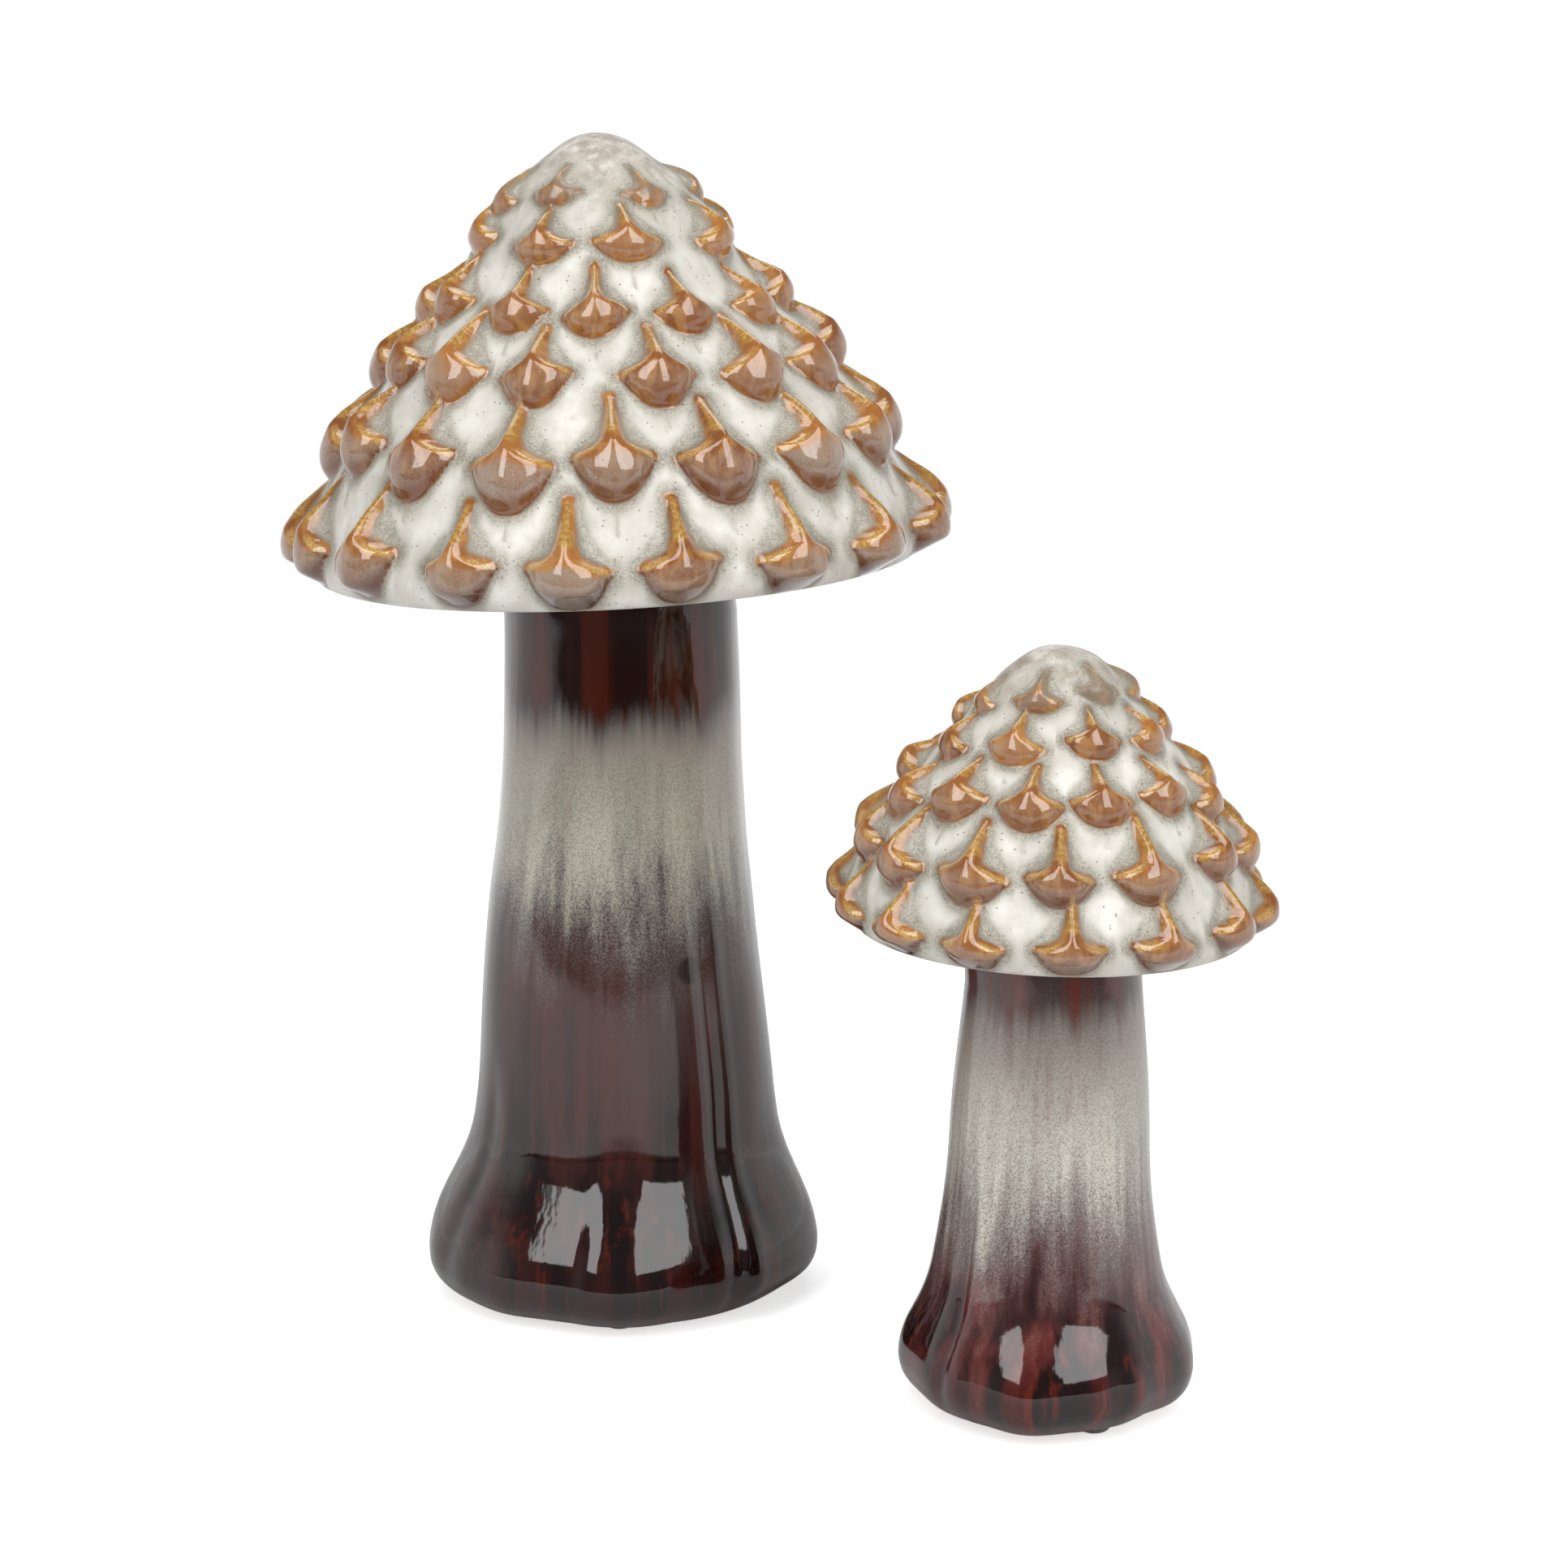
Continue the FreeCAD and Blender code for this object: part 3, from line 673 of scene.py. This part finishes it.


# %% [markdown]
# The caps' glaze is a thick cream that broke away wherever the form is sharp. Ridges and wing edges show amber,
# bellies show brown under a grey haze, and a grey fringe lies round each scale, partly where the cream thins out
# and partly painted shade in the hollows round the scale; a darker ring of painted shade edges the brown. The
# attributes say where a point is on its scale, and noise makes every edge uneven. The cream is duller than the
# brown, and pinholes and fine cracks are drawn on it.

# %% Cap glaze


def cap_glaze(name, rim, top, hazy):
    """The broken cream glaze. Rim and top are the cap's heights above the table, in millimetres.

    Hazy says how much more haze the lower bellies have than the upper ones.
    """
    glaze = Glaze(name, IOR=1.6, Coat_Roughness=0.03)
    stain, crest, spine = (glaze.attribute(mark) for mark in ("stain", "crest", "spine"))
    belly, seam, tone, ripple = (glaze.attribute(mark) for mark in ("belly", "seam", "tone", "ripple"))
    cloud = glaze.mottle(150, detail=4)
    wisps = glaze.mottle(420, 150, detail=3)
    grain = glaze.mottle(2300, detail=2)
    edge = stain + (wisps - 0.5) * 0.34 + (grain - 0.5) * 0.16 - (cloud - 0.5) * 0.25
    height = glaze.height()
    crown = height.rise((rim + 0.70 * (top - rim)) * MM, (top - 4) * MM)
    brown = (edge - crown * 0.25).rise(0.70, 0.90)
    # The grey fringe round each scale is partly thin cream and partly painted shade in the hollows round it.
    fringe = edge.rise(0.06, 0.56)

    cream = glaze.blend(cloud.rise(0.35, 0.66), colour(216, 212, 202), colour(232, 230, 222))
    cream = glaze.blend(wisps.rise(0.56, 0.80) * 0.40, cream, colour(196, 184, 162))
    thin = crown * (cloud + (wisps - 0.5) * 0.6 + (grain - 0.5) * 0.3).rise(0.20, 0.70)
    cream = glaze.blend(thin * 0.85, cream, colour(140, 122, 104))
    grey = glaze.blend((grain * 0.5 + wisps * 0.5).rise(0.38, 0.60), colour(160, 155, 140), colour(196, 192, 179))
    surface = glaze.blend(fringe * 0.9, cream, grey)
    specks = (grain * 0.6 + wisps * 0.4).rise(0.40, 0.60)
    speckle = glaze.blend(specks, colour(134, 128, 114), colour(184, 180, 166))
    surface = glaze.blend(edge.rise(0.34, 0.56) * 0.75, surface, speckle)
    # Painted shade: a darker ring where the cream meets each scale's brown.
    surface = glaze.blend(edge.rise(0.54, 0.84) * 0.7, surface, colour(126, 108, 84))

    lowness = height.rise((rim + 0.62 * (top - rim)) * MM, (rim + 0.25 * (top - rim)) * MM)
    warm = glaze.blend(tone, colour(136, 80, 38), colour(172, 112, 54))
    warm = glaze.blend(wisps.rise(0.44, 0.64) * 0.55, warm, colour(196, 144, 82))
    warm = glaze.blend(belly.rise(0.45, 0.9) * (0.12 + 0.62 * lowness), warm, colour(106, 60, 40))
    from_middle = belly - 0.5
    ground = (1 - from_middle * from_middle * 5).rise(0.1, 0.9)
    dust = (grain * 0.7 + wisps * 0.3).rise(0.25, 0.6)
    haze = (ground * belly.rise(0.06, 0.3) * (0.45 + 0.6 * tone) * dust).least(1)
    face = glaze.blend(haze * (0.34 + hazy * lowness), warm, colour(154, 143, 130))
    burnt = (height.rise((rim + 10) * MM, (rim - 2) * MM) * belly.rise(0.30, 0.9)).least(1)
    face = glaze.blend(burnt * (0.35 + 0.5 * tone), face, colour(60, 27, 24))
    surface = glaze.blend(brown, surface, face)
    bands = ((ripple * 3.6 + wisps * 22 + cloud * 12).sine() * 0.5 + 0.5) * grain.rise(0.2, 0.6)
    amber = glaze.blend(0.15 + bands * 0.55, colour(156, 110, 40), colour(212, 174, 92))
    surface = glaze.blend((spine.rise(0.25, 0.80) * brown * 0.9).least(1), surface, amber)
    lip = glaze.blend(grain.rise(0.3, 0.7), colour(170, 122, 50), colour(218, 184, 116))
    surface = glaze.blend((crest.rise(0.30, 0.90) * brown * 0.85).least(1), surface, lip)

    crack = seam * (1 - fringe * 0.6) * wisps.rise(0.3, 0.5)
    surface = glaze.blend(crack * 0.55, surface, colour(138, 124, 100))
    dots = glaze.pinholes(820, 0.21, 0.30) * (1 - brown * 0.7)
    pits = glaze.pinholes(1500, 0.17, 0.14)
    surface = glaze.blend((dots * 0.60 + pits * 0.35).least(1), surface, colour(142, 116, 84))
    relief = dots * -0.6 + cloud * 0.6 + bands * spine * 0.2 + grain * 0.03 - crack * 0.8
    gloss = (brown + cloud.rise(0.4, 0.7) * 0.2).least(1)
    glaze.paint(
        Base_Color=surface,
        Normal=glaze.bumped(relief, 0.25 * MM),
        Roughness=0.50 - 0.44 * gloss,
        Coat_Weight=0.02 + 0.78 * gloss,
    )
    return glaze.material


# %% [markdown]
# The stems wear a dark iron glaze that ran. A pale oatmeal band was poured round the shaft and flowed down in
# tongues, with a violet fringe at its lower edge and a plum zone under it, and orange-red streaks show where the
# iron is thin. One small iron spot lies on the tall stem, under the band. The sole's edge is bare brown clay.

# %% Stem glaze
IRON_SPOT = Vector((-15.8, -2.6, 80)) * MM


def stem_glaze(name, band_low, band_high, soft, shift, iron):
    """The running glaze. The band's heights are above the table, in millimetres, and soft is its upper edge's.

    Shift moves the pattern, and iron holds the glaze's colours by name.
    """
    glaze = Glaze(name, Roughness=0.06, IOR=1.55, Coat_Weight=0.3, Coat_Roughness=0.02)
    height = glaze.height()
    streaks = glaze.mottle(150, 9, detail=3, shift=shift)
    fine = glaze.mottle(420, 26, detail=2, shift=shift)
    cloud = glaze.mottle(75, 45, detail=4, shift=shift)
    grain = glaze.mottle(2600, detail=3, roughness=0.7)
    tongues = (streaks - 0.5) * 50 + (fine - 0.5) * 14 + (cloud - 0.5) * 22
    low = height * (1 / MM) + tongues
    high = height * (1 / MM) + (streaks - 0.5) * 14 + (fine - 0.5) * 10
    speckle = (grain - 0.5) * 20

    oats = iron["band"]
    dark = glaze.blend(streaks.rise(0.42, 0.62), colour(*iron["dark"]), colour(*iron["red"]))
    dark = glaze.blend(fine.rise(0.54, 0.74) * 0.5, dark, colour(*iron["orange"]))
    violet = glaze.blend(grain.rise(0.35, 0.65), colour(*iron["fringe"]), colour(*[0.66 * part for part in oats]))
    plum = glaze.blend(streaks.rise(0.40, 0.60) * 0.8, colour(*iron["plum"]), colour(*iron["rose"]))
    plum = glaze.blend(cloud.rise(0.42, 0.66) * 0.5, plum, colour(64, 50, 50))
    runs = (streaks * 0.6 + fine * 0.4).rise(0.36, 0.62)
    light = glaze.blend(runs, colour(*[0.86 * part for part in oats]), colour(*oats))
    light = glaze.blend(high.rise(band_high - 18 - soft, band_high) * 0.45, light, colour(136, 116, 110))
    oatmeal = glaze.blend(0.35 + grain.rise(0.32, 0.60) * 0.65, colour(112, 100, 92), light)
    oatmeal = glaze.blend((fine * 0.5 + cloud * 0.5).rise(0.52, 0.66) * 0.4, oatmeal, colour(116, 88, 84))

    neck = glaze.blend(streaks.rise(0.44, 0.62) * 0.5, colour(*iron["neck"]), colour(*iron["orange"]))
    dark = glaze.blend(high.rise(band_high + 2, band_high + 10), dark, neck)
    mid = low.rise(band_low * 0.2, band_low * 0.75) * (1 - high.rise(band_high - 2, band_high + 4))
    surface = glaze.blend(mid, dark, plum)
    body = (low + speckle).rise(band_low - 10, band_low + 14)
    body *= 1 - (high + speckle).rise(band_high - soft, band_high + 0.8 * soft)
    edge = (low + speckle).rise(band_low - 24, band_low + 2) * (1 - high.rise(band_high, band_high + 8))
    surface = glaze.blend(edge * 0.8, surface, violet)
    surface = glaze.blend(body, surface, oatmeal)
    spot = (glaze.distance(IRON_SPOT) + (cloud - 0.5) * 2.5 * MM).rise(3.9 * MM, 2.5 * MM)
    surface = glaze.blend(spot * (0.35 + 0.6 * grain.rise(0.35, 0.6)), surface, colour(22, 14, 18))
    foot_line = height.rise(2.6 * MM, 1.7 * MM)
    surface = glaze.blend(foot_line, surface, colour(176, 118, 76))
    relief = streaks * 0.5 + fine * 0.12 + body * 0.15 + cloud * 0.5
    glaze.paint(Base_Color=surface, Normal=glaze.bumped(relief, 0.22 * MM))
    return glaze.material


# %% [markdown]
# The bond is a matt brown where it shows, and the dots are a clear soft plastic that takes the floor's colour.

# %% Bond and dot finishes


def bond_finish():
    glaze = Glaze("bond_finish", Roughness=0.5)
    cloud = glaze.mottle(400, detail=3)
    surface = glaze.blend(cloud.rise(0.35, 0.65), colour(52, 34, 28), colour(86, 66, 54))
    glaze.paint(Base_Color=surface, Normal=glaze.bumped(cloud, 0.15 * MM))
    return glaze.material


def dot_finish():
    glaze = Glaze("dot_finish", Roughness=0.18, IOR=1.45, Transmission_Weight=0.7)
    cloud = glaze.mottle(900, detail=2)
    surface = glaze.blend(cloud.rise(0.4, 0.7), colour(214, 214, 208), colour(236, 236, 232))
    glaze.paint(Base_Color=surface, Normal=glaze.bumped(cloud, 0.03 * MM))
    return glaze.material


# %% [markdown]
# Everything is made here, the tall mushroom first.

# %% Make the set
BAND = {"tall": (97, 132, 6, (0.0, 0.0, 0.0)), "short": (46, 84, 15, (3.1, 1.7, 0.0))}
IRON = {
    "tall": {
        "dark": (22, 9, 8), "red": (48, 16, 12), "orange": (96, 34, 17), "neck": (34, 13, 10),
        "plum": (52, 33, 31), "rose": (80, 40, 34), "fringe": (78, 66, 78), "band": (190, 188, 172),
    },
    "short": {
        "dark": (26, 8, 7), "red": (72, 16, 9), "orange": (126, 42, 18), "neck": (74, 58, 58),
        "plum": (84, 50, 50), "rose": (120, 58, 54), "fringe": (116, 94, 100), "band": (224, 221, 207),
    },
}
HAZY = {"tall": 0.6, "short": 0.25}
bond = bond_finish()
rubber = dot_finish()
for owner in ("tall", "short"):
    rim = SHOULDER[owner].z / MM + BOND_THICKNESS[owner]
    make_stem(owner, stem_glaze(f"{owner}_stem_glaze", *BAND[owner], IRON[owner]))
    make_cap(owner, cap_glaze(f"{owner}_cap_glaze", rim, rim + DOME[owner][0][1], HAZY[owner]))
    make_bond(owner, bond)
    make_dots(owner, rubber)

# %% [markdown]
# The set stands on a white sheet. Near the set it is lit paper, which keeps the shadow, with a glow that only the
# camera meets; further out the camera meets plain white. Rays that were mirrored or bent see the same bright
# sheet behind and beside the set, but a dark one in front, where the studio's table ends: that darkens the stems.

# %% Floor
FLOOR_HALF = 6.0
FLOOR_GLOW = 0.66
FAR_SHARE = 0.75
DARK_TABLE = (0.09, 0.09, 0.09)
TABLE_END = (-0.28, -0.50)
WHITE_FROM = (0.22, 0.60)


def floor_finish():
    """Lit paper near the set, and plain white further out, for the camera and for mirrored or bent rays."""
    finish = Glaze("paper", Roughness=0.9)
    cloud = finish.mottle(3, detail=2)
    paper = finish.blend(cloud, (0.80, 0.80, 0.80), (0.82, 0.82, 0.82))
    rays = finish.node("ShaderNodeLightPath")
    seen = Number(finish, rays.outputs["Is Camera Ray"])
    glossy, bent = (Number(finish, rays.outputs[kind]) for kind in ("Is Glossy Ray", "Is Transmission Ray"))
    mirrored = glossy.most(bent)
    table_end = finish.number("ShaderNodeSeparateXYZ", "Y", {"Vector": finish.place}).rise(*TABLE_END)
    shown = finish.blend(mirrored * table_end, paper, DARK_TABLE)
    lit = finish.node("ShaderNodeBsdfDiffuse", None, {"Color": shown})
    glow = finish.node("ShaderNodeEmission", None, {"Color": (1, 1, 1), "Strength": seen * FLOOR_GLOW})
    near = finish.node("ShaderNodeAddShader", None, {0: lit.outputs[0], 1: glow.outputs[0]})
    white = finish.node("ShaderNodeEmission", None, {"Color": (1, 1, 1), "Strength": 1})
    far = (seen + mirrored * (1 - table_end) * FAR_SHARE) * finish.distance().rise(*WHITE_FROM)
    both = finish.node("ShaderNodeMixShader", None, {0: far, 1: near.outputs[0], 2: white.outputs[0]})
    finish.feed(finish.tree.nodes["Material Output"].inputs["Surface"], both.outputs[0])
    return finish.material


bm = bmesh.new()
bmesh.ops.create_grid(bm, x_segments=2, y_segments=2, size=FLOOR_HALF)
mesh = bpy.data.meshes.new("floor")
bm.to_mesh(mesh)
bm.free()
mesh.materials.append(floor_finish())
floor = bpy.data.objects.new("floor", mesh)
bpy.context.scene.collection.objects.link(floor)
print("floor", 2 * FLOOR_HALF, "m wide")

# %% [markdown]
# Two tall softboxes stand before the set, left and right, 40 degrees up. They make the pairs of windows on every
# belly and on the feet. A third lamp hangs behind the set, high up, and edges the caps with light.

# %% Lights
LAMP_AIM = Vector((0, 0, 0.12))


def add_softbox(name, bearing, elevation, distance, size, power):
    """A rectangular lamp that looks at the middle of the set. Bearings are degrees to the right of the camera."""
    turn, rise = math.radians(bearing), math.radians(elevation)
    back = Vector((math.sin(turn) * math.cos(rise), -math.cos(turn) * math.cos(rise), math.sin(rise)))
    lamp = bpy.data.lights.new(name, "AREA")
    lamp.shape = "RECTANGLE"
    lamp.size, lamp.size_y = size
    lamp.energy = power
    holder = bpy.data.objects.new(name, lamp)
    holder.location = LAMP_AIM + back * distance
    holder.rotation_euler = (-back).to_track_quat("-Z", "Y").to_euler()
    bpy.context.scene.collection.objects.link(holder)
    print(name, "at", [round(number / MM) for number in holder.location], "with", power, "W")


add_softbox("softbox_left", -38, 40, 1.1, (0.50, 1.15), 6.8)
add_softbox("softbox_right", 36, 40, 1.1, (0.62, 1.25), 8.4)
add_softbox("overhead", 180, 62, 1.5, (1.2, 0.8), 6.5)

# %% [markdown]
# The room is a white sweep to the sides and behind, which edges the dark stems with light, and a dim studio above
# and towards the camera, so that dark glaze stays dark there. The direction of a ray says which it meets. The
# camera itself meets plain white.

# %% Room
SWEEP_UP = (0.55, 0.10)
SWEEP_BACK = (-0.75, -0.05)
DIM, BRIGHT, PLAIN_WHITE = (0.13, 0.132, 0.138), (0.80, 0.80, 0.80), (1, 1, 1)
world = bpy.data.worlds.new("studio")
world.use_nodes = True
bpy.context.scene.world = world
room = Tree(world.node_tree)
direction = room.node("ShaderNodeTexCoord").outputs["Generated"]
upward = room.number("ShaderNodeSeparateXYZ", "Z", {"Vector": direction})
backward = room.number("ShaderNodeSeparateXYZ", "Y", {"Vector": direction})
sweep = upward.rise(*SWEEP_UP) * backward.rise(*SWEEP_BACK)
shade = room.blend(sweep, DIM, BRIGHT)
seen = room.number("ShaderNodeLightPath", "Is Camera Ray")
room.feed(room.tree.nodes["Background"].inputs["Color"], room.blend(seen, shade, PLAIN_WHITE))
print("room made of", len(world.node_tree.nodes), "nodes")
